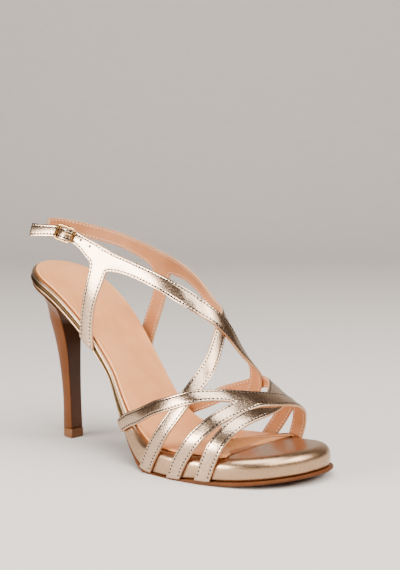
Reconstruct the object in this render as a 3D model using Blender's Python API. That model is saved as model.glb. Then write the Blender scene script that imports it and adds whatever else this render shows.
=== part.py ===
import math

import bmesh
import bpy
import numpy as np
from mathutils import Vector

# Strappy stiletto sandal for the right foot, in millimetres until each mesh is written in metres.
# While building, x runs from the back of the heel seat to the toe, y points to the inner side of the foot.

MM = 0.001
GAP = 0.3
STRAP_WALL = 1.6
STRAP_STEP = 3.2
STRAP_EASE = 10
SIDE_EASE = 1.8
SOCK_THICK = 1.2
SOCK_CROWN = 0.8
SOCK_FRONT_OUTER = 207.0
SOCK_FRONT_INNER = 200.5
SOLE_LIP_FRONT = 1.0
SOLE_LIP_REAR = -1.8
HEEL_ROUND = 27.0
TOE_ROUND = 200.0
HEEL_BREAST = 42.0
TIP_HEIGHT = 5.6
BUCKLE_FRONT = (9.0, -84.15, 3.7)
BUCKLE_REAR = (9.45, -97.95, 5.1)
BUCKLE_LEAN = 22.0
BUCKLE_LONG = 11.2
BUCKLE_WIDE = 8.5
BUCKLE_CORNER = 1.8
BUCKLE_WIRE = 0.65
BUCKLE_BAR = 0.5
BUCKLE_PRONG = 0.55
BUCKLE_BAR_DROP = 1.8

# top of the sock along the middle of the foot: x, z
SEAT_LINE = [
    (0, 107.2), (20, 99.4), (40, 88.3), (60, 72.2), (80, 50.2), (90, 38.1), (100, 27.7),
    (110, 20.6), (120, 16.6), (135, 15.2), (155, 15.8), (175, 16.8), (204, 20.2),
]

# outline of the footbed: distance along the seat line, middle y, half width
OUTLINE = [
    (0, 3.6, 24.6), (27, 3.2, 25.0), (56, 2.5, 24.6), (85, 1.15, 22.3), (100, 0.2, 22.0),
    (115, -2.0, 23.4), (130, -4.2, 25.2), (142, -4.6, 27.8), (153, -4.4, 32.3), (163, -3.4, 34.6),
    (173, -2.1, 36.5), (183, -1.0, 37.3), (195, 0.6, 37.4), (200, 1.2, 36.9), (240, 6.0, 36.0),
]

# depth below the seat line: distance along, underside of the footbed, underside of the outsole
DEPTH = [
    (0, 6.8, 8.8), (60, 6.6, 8.6), (85, 6.1, 7.9), (108, 5.6, 7.4), (128, 8.2, 10.2),
    (150, 13.6, 16.4), (190, 13.6, 16.4), (215, 13.6, 15.9), (260, 13.6, 15.7),
]

# rounding of the footbed's top edge: distance along, radius
TOP_EDGE = [(0, 1.6), (110, 1.6), (150, 3.0), (195, 5.0), (260, 6.0)]

# inset of the sock from the edge of the footbed: distance along, outer side, inner side
SOCK_INSET = [(0, 2.2, 2.2), (120, 2.2, 2.2), (170, 4.0, 3.4), (200, 4.2, 2.8), (260, 4.6, 2.8)]

# sections of the foot from toe to ankle: distance along, top x, top z, widest level, ridge, box, under power
FOOT = [
    (232, 196.5, 27, 0.50, 0, 1.0, 2.0),
    (220, 186, 33, 0.50, 0, 1.0, 2.0),
    (203, 170, 42.5, 0.42, 0, 1.0, 2.0),
    (183, 154, 55, 0.36, 1, 1.0, 2.0),
    (163, 145, 69, 0.30, 2, 1.0, 2.0),
    (142, 138.5, 86.5, 0.24, 3, 1.0, 2.0),
    (115.5, 127, 107, 0.22, 3, 1.0, 2.0),
    (84.5, 108.5, 128, 0.24, 3, 1.0, 2.0),
    (57, 93, 147, 0.30, 2, 0.9, 2.0),
    (27, 82, 161, 0.42, 1, 0.3, 1.8),
]

# sections round the ankle: back x, back z, top x, top z, middle y, half width, widest level, under power
ANKLE = [
    (3, 112, 77, 172, 3, 26.5, 0.56, 1.5),
    (7, 140, 74, 180, 3, 27.0, 0.60, 1.42),
]

# straps: section, girth angle (0 on the instep, negative outside, positive inside), width, lift off the foot,
# and where the strap is tilted, how much further one edge stands off than the middle
STRAPS = {
    "outer_leg": [
        (7.91, -76, 9, 0.3), (7.87, -81, 10.4, 0.3), (7.82, -85, 9.8, 0.3), (7.74, -90.5, 9, 0.3),
        (7.63, -109.5, 8.8, 0.3), (7.46, -131, 8.8, 0.3), (7.28, -149, 10, 0.3),
    ],
    "outer_arm": [
        (9.9, -123.3, 6.2, 10.4, -1.2), (9.75, -114.5, 6.2, 6.8, -1.2), (9.61, -107, 6.1, 4.4, -1.2),
        (9.45, -98.1, 5.9, 2.4, -1.2), (9.25, -89.1, 5.9, 3.8, -1.2), (9.05, -85.2, 6.0, 0.7, -1.0),
        (8.95, -83.4, 6.3, 0.6, -0.8), (8.83, -81.6, 7.0, 0.4, -0.4), (8.55, -78, 8.8, 0.5),
        (8.25, -75, 12.4, 0.6), (8.0, -74, 12.8, 0.55), (7.6, -65.2, 9.8, 0.45), (7.17, -57.9, 8.4, 0.45),
        (6.71, -49.6, 8.2, 0.45), (5.99, -34.8, 8.6, 0.6), (4.87, -6, 8.5, 1.5), (4.4, 13, 8.2, 1.5),
        (3.8, 20, 8, 0.8), (3.5, 38, 8, 0.3), (3.55, 56, 8, 0.3), (3.85, 73, 8, 0.3), (4.1, 86, 8, 0.3),
        (4.3, 110, 8, 0.3), (4.36, 149, 8, 0.3),
    ],
    "inner_leg": [
        (7.56, 75, 10, 0.3), (7.36, 83, 11, 0.3), (7.28, 96, 11.2, 0.3), (7.24, 114.5, 11.2, 0.3),
        (7.2, 130, 11.2, 0.3), (7.12, 149, 11.5, 0.3),
    ],
    "inner_arm": [
        (9.36, 264.5, 6.0, 0.3, 0.6), (9.55, 254, 6.2, 0.3, 0.6), (9.8, 240, 7.6, -0.7, 0.3), (10.12, 222, 8, -2.4),
        (10.5, 200, 8, -2.4), (10.61, 180, 8, -0.8), (10.48, 160, 8, 0.2), (10.1, 139, 8.2, 0.4),
        (9.53, 117.5, 8.3, 0.4), (9.03, 96.5, 8.3, 0.4), (8.29, 80.5, 10.4, 0.45), (7.85, 74.8, 12.5, 0.5),
        (7.29, 63.2, 9.8, 0.55), (6.79, 53.2, 7.6, 0.4), (6.36, 47.7, 7.4, 0.3), (6.0, 44.2, 7.4, 0.3),
        (5.67, 41.5, 7.6, 0.3), (5.2, 29, 8, 0.3), (4.85, 13, 8, 0.3), (4.5, 1, 8, 0.3), (4.0, -9, 7.5, 0.3),
        (3.68, -20.5, 7.8, 0.3), (3.47, -33.5, 8.3, 0.3), (3.52, -54, 8.5, 0.3), (3.8, -74, 8.5, 0.3),
        (4.07, -88, 8.5, 0.3), (4.28, -116, 8.5, 0.3), (4.34, -149, 8, 0.3),
    ],
    "over_band": [
        (5.5, -149, 7.6, 0.3), (5.44, -128, 8, 0.3), (5.14, -98, 8.2, 0.3), (4.84, -84, 8, 0.5),
        (4.28, -73.5, 7.6, 1.3), (3.78, -63.5, 7.3, 1.5), (3.29, -54, 7.2, 1.5), (2.73, -41, 7.2, 1.2),
        (2.32, -25, 9, 1.3), (2.02, -18, 12, 1.4), (1.83, -6, 11.5, 1.5), (1.7, 8, 11, 1.5),
        (1.68, 26, 10, 1.2), (1.75, 44, 9.3, 0.6), (1.9, 62, 9, 0.3), (2.08, 78, 8.8, 0.3),
        (2.2, 90, 8.8, 0.3), (2.35, 114, 8.8, 0.3), (2.45, 149, 9, 0.3),
    ],
    "over_fork": [
        (3.42, -149, 8.2, 0.3), (3.32, -125, 8.2, 0.3), (3.1, -103, 8.2, 0.3), (2.8, -85, 8.2, 0.4),
        (2.5, -70, 8, 0.6), (2.25, -55, 8, 0.8), (2.0, -37, 8.2, 1.0), (1.95, -26, 9, 1.1),
        (1.9, -14, 9, 1.2),
    ],
    "under_band": [
        (2.5, -149, 8.5, 0.3), (2.4, -125, 8.5, 0.3), (2.27, -103, 8.5, 0.3), (2.12, -86, 8.5, 0.3),
        (1.92, -68, 8.2, 0.3), (1.71, -48, 8.2, 0.3), (1.56, -29, 9, 0.3), (1.55, -12, 10.5, 0.3),
        (1.68, 4, 12, 0.3), (1.9, 16, 12.5, 0.3), (2.1, 24, 11, 0.4), (2.35, 31, 9, 0.6),
        (2.75, 43, 7.5, 0.9), (3.29, 54, 7.3, 1.4), (3.78, 63.5, 7.3, 1.5), (4.28, 73.5, 7.6, 1.3),
        (4.84, 84, 8, 0.5), (5.12, 98, 8, 0.3), (5.42, 128, 8, 0.3), (5.5, 149, 8, 0.3),
    ],
    "under_fork": [
        (1.9, 14, 9, 0.5), (1.95, 26, 9, 0.5), (2.0, 37, 8.2, 0.5), (2.25, 55, 8, 0.4), (2.5, 70, 8, 0.3),
        (2.8, 85, 8.2, 0.3), (3.1, 103, 8.2, 0.3), (3.32, 125, 8.2, 0.3), (3.42, 149, 8.2, 0.3),
    ],
}

# stem of the heel: z, breast x, half width, depth, middle y
STEM = [
    (0, 28.2, 4.8, 10.7, 1.5), (30, 27.0, 4.9, 10.1, 1.5), (60, 25.2, 6.7, 14.2, 1.8), (72, 23.2, 8.8, 16.2, 2.2),
]

# colours and surfaces: red, green, blue, metallic, roughness
FINISH = {
    "outsole": (0.42, 0.23, 0.13, 0.0, 0.35),
    "footbed": (0.62, 0.47, 0.33, 0.8, 0.3),
    "sock": (0.64, 0.40, 0.28, 0.0, 0.5),
    "heel": (0.45, 0.26, 0.15, 0.0, 0.2),
    "heel_tip": (0.36, 0.20, 0.11, 0.0, 0.5),
    "upper": (0.68, 0.56, 0.42, 0.85, 0.3),
    "buckle_frame": (0.75, 0.55, 0.27, 1.0, 0.2),
    "buckle_prong": (0.75, 0.55, 0.27, 1.0, 0.2),
}


def smooth(xs, ys, x):
    xs = np.asarray(xs, float)
    ys = np.asarray(ys, float)
    x = np.asarray(x, float)
    gap = np.diff(xs).reshape((-1,) + (1,) * (ys.ndim - 1))
    slope = np.diff(ys, axis=0) / gap
    tan = np.empty_like(ys)
    tan[1:-1] = (slope[:-1] * gap[1:] + slope[1:] * gap[:-1]) / (gap[1:] + gap[:-1])
    tan[0] = slope[0]
    tan[-1] = slope[-1]
    i = np.clip(np.searchsorted(xs, x, side="right") - 1, 0, len(xs) - 2)
    h = xs[i + 1] - xs[i]
    t = (x - xs[i]) / h
    if ys.ndim > 1:
        h = h[..., None]
        t = t[..., None]
    start = ys[i] * (1 + 2 * t) * (1 - t) ** 2 + tan[i] * h * t * (1 - t) ** 2
    return start + ys[i + 1] * t * t * (3 - 2 * t) + tan[i + 1] * h * t * t * (t - 1)


def column(table, k, s):
    t = np.asarray(table, float)
    return smooth(t[:, 0], t[:, k], s)


LINE_X = np.linspace(0, SEAT_LINE[-1][0], 1021)
LINE_Z = column(SEAT_LINE, 1, LINE_X)
LINE_S = np.concatenate([[0], np.cumsum(np.hypot(np.diff(LINE_X), np.diff(LINE_Z)))])
LENGTH = float(LINE_S[-1])


def seat(s):
    s = np.asarray(s, float)
    c = np.clip(s, 0, LENGTH)
    tx = np.interp(c, LINE_S, np.gradient(LINE_X, LINE_S))
    tz = np.interp(c, LINE_S, np.gradient(LINE_Z, LINE_S))
    n = np.hypot(tx, tz)
    x = np.interp(c, LINE_S, LINE_X) + (s - c) * tx / n
    z = np.interp(c, LINE_S, LINE_Z) + (s - c) * tz / n
    return x, z, -tz / n, tx / n


def bent(s, y, h):
    x, z, nx, nz = seat(s)
    return np.stack(np.broadcast_arrays(x + nx * h, np.asarray(y, float), z + nz * h), -1)


def edges(s):
    s = np.asarray(s, float)
    heel = np.clip((HEEL_ROUND - s) / HEEL_ROUND, 0, 1)
    toe = np.clip((s - TOE_ROUND) / (LENGTH - TOE_ROUND), 0, 1)
    full = np.sqrt(1 - heel ** 2) * (1 - toe ** 2.1) ** (1 / 2.1)
    mid = column(OUTLINE, 1, s)
    half = column(OUTLINE, 2, s) * full
    return mid - half, mid + half


def foot_rows():
    rows = []
    for s, tx, tz, wide, ridge, box, under in FOOT:
        x, _, z = bent(s, 0, -column(DEPTH, 1, s) - GAP)
        lo, hi = edges(s)
        rows.append((s, x, z, tx, tz, (lo + hi) / 2, (hi - lo) / 2, wide, ridge, box, under))
    for bx, bz, tx, tz, mid, half, wide, under in ANKLE:
        rows.append((FOOT[-1][0], bx, bz, tx, tz, mid, half, wide, 0, 0, under))
    return np.array(rows, float)


ROWS = foot_rows()


def last(u, th):
    u = np.asarray(u, float)
    r = smooth(np.arange(len(ROWS)), ROWS, u)
    s, bx, bz, tx, tz, mid, half, wide, ridge, box, under = np.moveaxis(r, -1, 0)
    lo, hi = edges(s)
    near = np.clip(10 - u, 0, 1)
    mid = mid + ((lo + hi) / 2 - mid) * near
    half = half + ((hi - lo) / 2 - half) * near + 0.15
    turn = (np.asarray(th, float) + 180) % 360 - 180
    a = np.abs(turn)
    c = np.cos(np.radians(a))
    ease = np.clip(3 * c, 0, 1)
    half = half - SIDE_EASE * ease * ease * (3 - 2 * ease)
    power = np.where(c >= 0, 2.2, under)
    out = np.abs(np.sin(np.radians(a))) ** (2 / power)
    up = np.abs(c) ** (2 / power)
    wall = 1 - np.clip((a - 90) / 60, 0, 1)
    floor = 1 - np.clip((a - 150) / 30, 0, 1)
    y = np.where(c >= 0, out, out + (floor - out) * box)
    f = np.where(c >= 0, wide + (1 - wide) * up, wide * ((1 - up) * (1 - box) + wall * box))
    side = mid + ridge * np.clip(c, 0, 1) + half * np.sign(turn) * y
    return np.stack([bx + (tx - bx) * f, side, bz + (tz - bz) * f], -1)


def last_axes(u, th):
    du = (last(u + 0.01, th) - last(u - 0.01, th)) / 0.02
    dt = (last(u, th + 0.4) - last(u, th - 0.4)) / 0.8
    n = np.cross(dt, du)
    n /= np.linalg.norm(n, axis=-1, keepdims=True)
    return du, dt, n


def write_object(name, bm):
    bmesh.ops.remove_doubles(bm, verts=bm.verts, dist=1e-4)
    bmesh.ops.recalc_face_normals(bm, faces=bm.faces)
    bmesh.ops.triangulate(bm, faces=bm.faces)
    if bm.calc_volume(signed=True) < 0:
        bmesh.ops.reverse_faces(bm, faces=bm.faces)
    bmesh.ops.scale(bm, vec=(MM, MM, MM), verts=bm.verts)
    mesh = bpy.data.meshes.new(name)
    bm.to_mesh(mesh)
    bm.free()
    obj = bpy.data.objects.new(name, mesh)
    bpy.context.scene.collection.objects.link(obj)
    return obj


def ring_verts(bm, points):
    return [bm.verts.new(Vector(p)) for p in points]


def skin(bm, rings):
    for a, b in zip(rings[:-1], rings[1:]):
        for i in range(len(a)):
            j = (i + 1) % len(a)
            bm.faces.new((a[i], a[j], b[j], b[i]))


def spread(end, count=46):
    t = np.linspace(0, 1, count)
    heel = 0.5 * (1 - np.cos(np.pi * t))
    return end * (0.35 * t + 0.65 * heel)


def outline(end_outer, end_inner, inset):
    so = spread(end_outer)
    si = spread(end_inner)
    lo = edges(so)[0]
    hi = edges(si)[1]
    loop = np.concatenate([np.stack([so, lo], -1), np.stack([si, hi], -1)[::-1]])
    if end_outer >= LENGTH:
        loop = np.delete(loop, len(so), axis=0)
    loop = loop[:-1]
    t = np.roll(loop, -1, axis=0) - np.roll(loop, 1, axis=0)
    t /= np.linalg.norm(t, axis=1, keepdims=True)
    out = np.stack([t[:, 1], -t[:, 0]], -1)
    if callable(inset):
        inset = inset(loop[:, 0])
    return loop - out * np.broadcast_to(inset, len(loop))[:, None]


def cap(bm, ring, full, lift=0.0, across=3):
    n = len(ring)
    half = n // 2
    rows = []
    for i in range(1, half):
        a = ring[i].co
        b = ring[n - i].co
        row = [ring[i]]
        for k in range(1, across + 1):
            t = k / (across + 1)
            row.append(bm.verts.new(a.lerp(b, t) + Vector((0, 0, lift * math.sin(math.pi * t)))))
        row.append(ring[n - i])
        rows.append(row)
    for p, q in zip(rows[:-1], rows[1:]):
        for k in range(len(p) - 1):
            bm.faces.new((p[k], p[k + 1], q[k + 1], q[k]))
    for k in range(across + 1):
        bm.faces.new((ring[0], rows[0][k + 1], rows[0][k]))
    if full:
        for k in range(across + 1):
            bm.faces.new((ring[half], rows[-1][k], rows[-1][k + 1]))
    else:
        bm.faces.new(rows[-1] + [ring[half + 1], ring[half]])


def depth_of(k, extra=0.0):
    return lambda s: -column(DEPTH, k, np.clip(s, 0, LENGTH)) + extra


def layer(name, levels, ends=(LENGTH, LENGTH), crown=0.0, floor=None):
    bm = bmesh.new()
    rings = []
    full = ends[0] >= LENGTH
    for inset, height in levels:
        loop = outline(ends[0], ends[1], inset)
        h = height(loop[:, 0]) if callable(height) else height
        points = bent(loop[:, 0], loop[:, 1], h)
        if floor is not None:
            points[:, 2] = np.maximum(points[:, 2], floor)
        rings.append(ring_verts(bm, points))
    skin(bm, rings)
    cap(bm, rings[0], full)
    cap(bm, rings[-1], full, crown)
    return write_object(name, bm)


def footbed_levels(grow):
    top = -SOCK_THICK - GAP + grow
    under = depth_of(1, -grow)
    levels = [(0.6 - grow, under), (-grow, depth_of(1, 0.8))]
    for k in range(5):
        turn = math.radians(90 * k / 4)
        radius = lambda s: column(TOP_EDGE, 1, np.clip(s, 0, LENGTH))
        inset = lambda s, a=turn: radius(s) * (1 - math.cos(a)) - grow
        height = lambda s, a=turn: top - radius(s) * (1 - math.sin(a))
        levels.append((inset, height))
    return levels


def lip(s):
    t = np.clip((s - 130) / 35, 0, 1)
    return -(SOLE_LIP_REAR + (SOLE_LIP_FRONT - SOLE_LIP_REAR) * t * t * (3 - 2 * t))


def outsole_levels(grow):
    return [
        (lambda s: lip(s) + 0.5 - grow, depth_of(2, -grow)),
        (lambda s: lip(s) - grow, depth_of(2, 0.5 - grow)),
        (lambda s: lip(s) - grow, depth_of(1, -GAP - 0.3 + grow)),
        (lambda s: lip(s) + 0.3 - grow, depth_of(1, -GAP + grow)),
    ]


def sock_inset(s):
    # an outline runs forward along the outer edge and back along the inner one
    inner = np.arange(len(s)) > np.argmax(s)
    return np.where(inner, column(SOCK_INSET, 2, s), column(SOCK_INSET, 1, s))


def make_soles():
    layer("footbed", footbed_levels(0.0))
    layer("outsole", outsole_levels(0.0), floor=0.0)
    sock = []
    for extra, height in ((0.4, -SOCK_THICK), (0.0, -SOCK_THICK + 0.4), (0.0, -0.4), (0.5, 0.0)):
        sock.append((lambda s, more=extra: sock_inset(s) + more, height))
    layer("sock", sock, (SOCK_FRONT_OUTER, SOCK_FRONT_INNER), SOCK_CROWN)


def stem_ring(z, count=21, across=3, grow=0.0):
    xb, half, deep, mid = [column(STEM, k, z) for k in (1, 2, 3, 4)]
    points = []
    for k in range(count):
        a = math.radians(-90 + 180 * k / (count - 1))
        points.append((xb - (deep + grow) * math.cos(a), mid + (half + grow) * math.sin(a), z))
    for k in range(1, across + 1):
        t = k / (across + 1)
        points.append((xb, mid + (half + grow) * (1 - 2 * t), z))
    return np.array(points, float)


def rim_ring(count=21, across=3):
    half = count // 2
    t = np.linspace(0, 1, half + 1)
    s = HEEL_BREAST * (1 - np.cos(np.pi / 2 * t))
    lo, hi = edges(s)
    loop = [(a, b) for a, b in zip(s[::-1], lo[::-1])] + [(a, b) for a, b in zip(s[1:], hi[1:])]
    loop = np.array(loop)
    mid = np.array([HEEL_BREAST * 0.6, 3.2])
    away = loop - mid
    loop = loop - away / np.linalg.norm(away, axis=1, keepdims=True) * 1.6
    a = loop[-1]
    b = loop[0]
    line = [a + (b - a) * k / (across + 1) for k in range(1, across + 1)]
    loop = np.concatenate([loop, line])
    return bent(loop[:, 0], loop[:, 1], depth_of(2, -GAP)(loop[:, 0]))


def make_heel():
    bm = bmesh.new()
    rings = [ring_verts(bm, stem_ring(z)) for z in np.linspace(TIP_HEIGHT + GAP, STEM[-1][0], 9)]
    low = stem_ring(STEM[-1][0])
    rim = rim_ring()
    turn = low + (rim - low) * 0.22
    turn[:, 2] = rim[:, 2] - 6.5
    for t in np.linspace(0, 1, 8)[1:]:
        rings.append(ring_verts(bm, low * (1 - t) ** 2 + turn * 2 * t * (1 - t) + rim * t * t))
    skin(bm, rings)
    bm.faces.new(rings[0])
    count = 21
    top = rings[-1]
    line = top[count:] + [top[0]]
    line = [top[count - 1]] + line
    back = top[:count]
    half = count // 2
    for k in range(half):
        a, b = back[k], back[k + 1]
        c, d = back[count - 1 - k], back[count - 2 - k]
        if k == half - 1:
            bm.faces.new((a, b, c))
        elif k == 0:
            bm.faces.new((b, d) + tuple(line))
        else:
            bm.faces.new((a, b, d, c))
    write_object("heel", bm)
    bm = bmesh.new()
    rings = [ring_verts(bm, stem_ring(0) * (1, 1, 0) + (0, 0, z)) for z in (0.0, TIP_HEIGHT)]
    skin(bm, rings)
    bm.faces.new(rings[0])
    bm.faces.new(rings[1])
    write_object("heel_tip", bm)


def nearest(u, th, goal):
    for _ in range(6):
        du, dt, n = last_axes(u, th)
        step = goal - last(u, th)
        g11 = (du * du).sum(1)
        g12 = (du * dt).sum(1)
        g22 = (dt * dt).sum(1)
        b1 = (du * step).sum(1)
        b2 = (dt * step).sum(1)
        det = g11 * g22 - g12 * g12
        u = u + 0.8 * (b1 * g22 - b2 * g12) / det
        th = th + 0.8 * (b2 * g11 - b1 * g12) / det
    return u, th


def trace(rows, step):
    rows = np.array([(tuple(row) + (0.0,))[:5] for row in rows], float)
    p = last(rows[:, 0], rows[:, 1])
    d = np.concatenate([[0], np.cumsum(np.linalg.norm(np.diff(p, axis=0), axis=1))])
    count = max(8, int(round(d[-1] / step)))
    path = smooth(d, rows, np.linspace(0, d[-1], count + 1))
    p = last(path[:, 0], path[:, 1])
    for _ in range(STRAP_EASE):
        p[1:-1] = (p[:-2] + 2 * p[1:-1] + p[2:]) / 4
    path[:, 0], path[:, 1] = nearest(path[:, 0], path[:, 1], p)
    return path


def edge_of(path, side):
    u, th, width, lift, lean = path.T
    p = last(u, th)
    n = last_axes(u, th)[2]
    along = np.gradient(p + n * lift[:, None], axis=0)
    along -= n * (along * n).sum(1, keepdims=True)
    along /= np.linalg.norm(along, axis=1, keepdims=True)
    across = np.cross(n, along)
    u, th = nearest(u, th, p + across * (side * width / 2)[:, None])
    n = last_axes(u, th)[2]
    face = n - across * (2 * lean / width)[:, None]
    face /= np.linalg.norm(face, axis=1, keepdims=True)
    return last(u, th) + n * (lift + side * lean)[:, None], face


def ribbon(name, rows):
    path = trace(rows, STRAP_STEP)
    bm = bmesh.new()
    inner = []
    outer = []
    for side in (-1, 0, 1):
        q, face = edge_of(path, side)
        inner.append(q)
        outer.append(q + face * STRAP_WALL)
    rings = []
    for i in range(len(path)):
        points = [inner[0][i], inner[1][i], inner[2][i], outer[2][i], outer[1][i], outer[0][i]]
        rings.append(ring_verts(bm, points))
    skin(bm, rings)
    for ring in (rings[0], rings[-1]):
        bm.faces.new((ring[0], ring[1], ring[4], ring[5]))
        bm.faces.new((ring[1], ring[2], ring[3], ring[4]))
    return write_object(name, bm)


def join(target, other, operation):
    mod = target.modifiers.new(other.name, "BOOLEAN")
    mod.operation = operation
    mod.solver = "EXACT"
    mod.object = other
    graph = bpy.context.evaluated_depsgraph_get()
    mesh = bpy.data.meshes.new_from_object(target.evaluated_get(graph))
    target.modifiers.clear()
    target.data = mesh
    bpy.data.objects.remove(other)


def make_upper():
    names = list(STRAPS)
    upper = ribbon("upper", STRAPS[names[0]])
    for name in names[1:]:
        join(upper, ribbon(name, STRAPS[name]), "UNION")
    join(upper, layer("wall_room", footbed_levels(GAP)), "DIFFERENCE")
    join(upper, layer("sole_room", outsole_levels(GAP)), "DIFFERENCE")
    bm = bmesh.new()
    bm.from_mesh(upper.data)
    bmesh.ops.remove_doubles(bm, verts=bm.verts, dist=2e-6)
    bmesh.ops.triangulate(bm, faces=bm.faces)
    bm.to_mesh(upper.data)
    bm.free()


def buckle_axes():
    bars = []
    for u, th, lift in (BUCKLE_FRONT, BUCKLE_REAR):
        bars.append(last(u, th) + last_axes(u, th)[2] * lift)
    along = bars[1] - bars[0]
    along /= np.linalg.norm(along)
    n = last_axes(BUCKLE_FRONT[0], BUCKLE_FRONT[1])[2] + last_axes(BUCKLE_REAR[0], BUCKLE_REAR[1])[2]
    n -= along * (n @ along)
    n /= np.linalg.norm(n)
    over = np.cross(n, along)
    lean = math.radians(BUCKLE_LEAN)
    across = over * math.cos(lean) + n * math.sin(lean)
    return (bars[0] + bars[1]) / 2, along, across, n * math.cos(lean) - over * math.sin(lean)


def sweep(name, path, closed, radius, sides=8):
    bm = bmesh.new()
    path = np.asarray(path, float)
    rings = []
    n = len(path)
    normal = buckle_axes()[3]
    for i in range(n):
        prev = path[i - 1] if closed or i else path[i]
        nxt = path[(i + 1) % n] if closed or i < n - 1 else path[i]
        t = (nxt - prev) / np.linalg.norm(nxt - prev)
        side = np.cross(normal, t)
        side /= np.linalg.norm(side)
        up = np.cross(t, side)
        ring = []
        for k in range(sides):
            a = 2 * math.pi * k / sides
            ring.append(path[i] + radius * (side * math.cos(a) + up * math.sin(a)))
        rings.append(ring_verts(bm, ring))
    skin(bm, rings + ([rings[0]] if closed else []))
    if not closed:
        bm.faces.new(rings[0])
        bm.faces.new(rings[-1])
    return write_object(name, bm)


def make_buckle():
    base, along, over, normal = buckle_axes()
    path = []
    hx = BUCKLE_LONG / 2 - BUCKLE_CORNER
    hy = BUCKLE_WIDE / 2 - BUCKLE_CORNER
    for k, (sx, sy) in enumerate(((1, 1), (-1, 1), (-1, -1), (1, -1))):
        for j in range(5):
            a = math.radians(90 * k + 22.5 * j)
            x = sx * hx + BUCKLE_CORNER * math.cos(a)
            y = sy * hy + BUCKLE_CORNER * math.sin(a)
            path.append(base + along * x + over * y)
    frame = sweep("buckle_frame", path, True, BUCKLE_WIRE)
    edge = BUCKLE_WIDE / 2
    # the middle bar hangs below the frame, so that the strap passes over it and under both ends
    bar = [(edge + 0.1, 0.0), (edge, 0.45), (edge - 0.25, 0.85), (edge - 0.8, 1.0), (0.0, 1.0)]
    bar = bar + [(-y, drop) for y, drop in bar[-2::-1]]
    bar = [base + over * y - normal * BUCKLE_BAR_DROP * drop for y, drop in bar]
    join(frame, sweep("buckle_bar", bar, False, BUCKLE_BAR, 10), "UNION")
    lift = BUCKLE_WIRE + BUCKLE_PRONG + GAP
    start = base + normal * (lift + 0.9)
    end = base - along * (BUCKLE_LONG / 2 + 0.4) + normal * lift
    sweep("buckle_prong", [start, (start + end) / 2, end], False, BUCKLE_PRONG)


def finish(obj):
    r, g, b, metallic, rough = FINISH[obj.name]
    mat = bpy.data.materials.new(obj.name)
    mat.use_nodes = True
    shader = mat.node_tree.nodes["Principled BSDF"]
    shader.inputs["Base Color"].default_value = (r, g, b, 1)
    shader.inputs["Metallic"].default_value = metallic
    shader.inputs["Roughness"].default_value = rough
    obj.data.materials.clear()
    obj.data.materials.append(mat)


def centre_all():
    points = []
    for obj in bpy.data.objects:
        points.extend([tuple(v.co) for v in obj.data.vertices])
    points = np.array(points)
    mid = (points.min(0) + points.max(0)) / 2
    for obj in bpy.data.objects:
        for v in obj.data.vertices:
            v.co.x -= mid[0]
            v.co.y -= mid[1]
        obj.data.update()
    print("moved by", -mid[0], -mid[1], "box", points.min(0), points.max(0))


for old in list(bpy.data.objects):
    bpy.data.objects.remove(old, do_unlink=True)

make_soles()
make_heel()
make_upper()
make_buckle()
for piece in list(bpy.data.objects):
    finish(piece)
centre_all()
print({obj.name: len(obj.data.polygons) for obj in bpy.data.objects})
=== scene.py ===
import math

import bmesh
import bpy
import numpy as np
from mathutils import Matrix, Vector
from mathutils.bvhtree import BVHTree


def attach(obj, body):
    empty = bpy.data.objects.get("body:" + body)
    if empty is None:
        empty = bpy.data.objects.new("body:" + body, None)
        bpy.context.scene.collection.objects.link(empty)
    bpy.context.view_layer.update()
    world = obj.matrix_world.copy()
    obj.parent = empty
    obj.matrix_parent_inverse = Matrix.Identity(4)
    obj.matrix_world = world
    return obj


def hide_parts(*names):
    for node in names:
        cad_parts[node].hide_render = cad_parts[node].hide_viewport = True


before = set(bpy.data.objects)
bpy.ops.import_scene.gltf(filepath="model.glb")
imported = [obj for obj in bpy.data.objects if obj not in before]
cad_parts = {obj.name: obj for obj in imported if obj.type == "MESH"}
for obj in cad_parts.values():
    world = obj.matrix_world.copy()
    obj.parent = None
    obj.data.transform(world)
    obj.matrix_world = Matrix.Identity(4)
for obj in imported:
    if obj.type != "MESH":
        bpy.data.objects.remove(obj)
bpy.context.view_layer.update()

mm = 0.001  # metres
weldGap = 1e-6  # metres

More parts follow.
